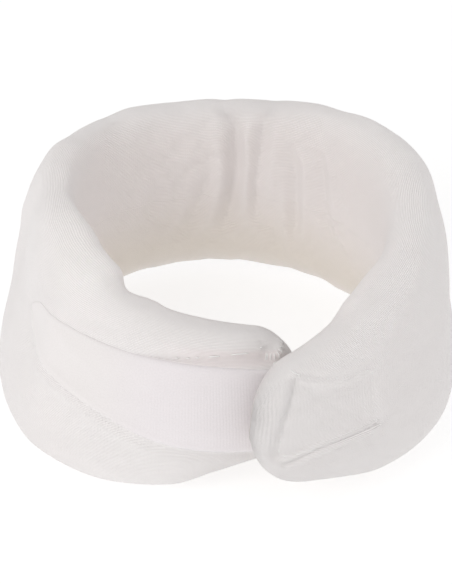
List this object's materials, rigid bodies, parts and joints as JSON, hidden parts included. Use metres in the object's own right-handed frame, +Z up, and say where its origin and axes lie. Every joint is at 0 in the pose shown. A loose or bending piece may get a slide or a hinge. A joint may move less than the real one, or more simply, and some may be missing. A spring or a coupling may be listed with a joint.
{
  "type": "cervical collar",
  "caption": "Soft foam cervical collar in a knitted cover, wrapped round the neck and closed at the nape by a hook tape on a loop band.",
  "frame": {"origin": "on the ground plane, under the middle of the closed collar's box", "axes": "+Z up the neck; +Y towards the chin; +X to the wearer's right, the side that wraps over at the nape"},
  "size_m": [0.1696, 0.1768, 0.0859],
  "materials": {
    "foam": "open-cell flexible foam, matte",
    "knit": "fine cotton stockinette, matte",
    "loop_pile": "brushed loop pile, matte",
    "hook_pile": "moulded hooks on a woven tape",
    "thread": "polyester sewing thread"
  },
  "bodies": {
    "left_wing": {"foam_left_wing": "foam", "cover_left_wing": "knit", "loop_band": "loop_pile", "loop_band_stitching": "thread", "left_end_tack": "thread"},
    "middle": {"foam_middle": "foam", "cover_middle": "knit"},
    "right_side": {"foam_right_side": "foam", "cover_right_side": "knit"},
    "right_wing": {"foam_right_wing": "foam", "cover_right_wing": "knit"},
    "closing_end": {"foam_closing_end": "foam", "cover_closing_end": "knit", "hook_tape": "hook_pile", "hook_tape_stitching": "thread"}
  },
  "joints": [
    {"name": "right_rear_flex", "type": "hinge", "parent": "middle", "child": "right_side", "pos_m": [0.0355, 0.0791, 0], "axis": [0, 0, 1], "range_deg": [0, 30]},
    {"name": "right_front_flex", "type": "hinge", "parent": "right_side", "child": "right_wing", "pos_m": [0.082, 0.0209, 0], "axis": [0, 0, 1], "range_deg": [0, 30]},
    {"name": "left_flex", "type": "hinge", "parent": "middle", "child": "left_wing", "pos_m": [-0.0779, 0.0419, 0], "axis": [0, 0, 1], "range_deg": [-15, 0]},
    {"name": "closure_peel", "type": "hinge", "parent": "right_wing", "child": "closing_end", "pos_m": [0.0639, -0.0609, 0], "axis": [0, 0, 1], "range_deg": [0, 60]}
  ],
  "couplings": [
    {"joint": "right_front_flex", "follows": "right_rear_flex", "ratio": 1},
    {"joint": "left_flex", "follows": "right_rear_flex", "ratio": -0.5}
  ]
}
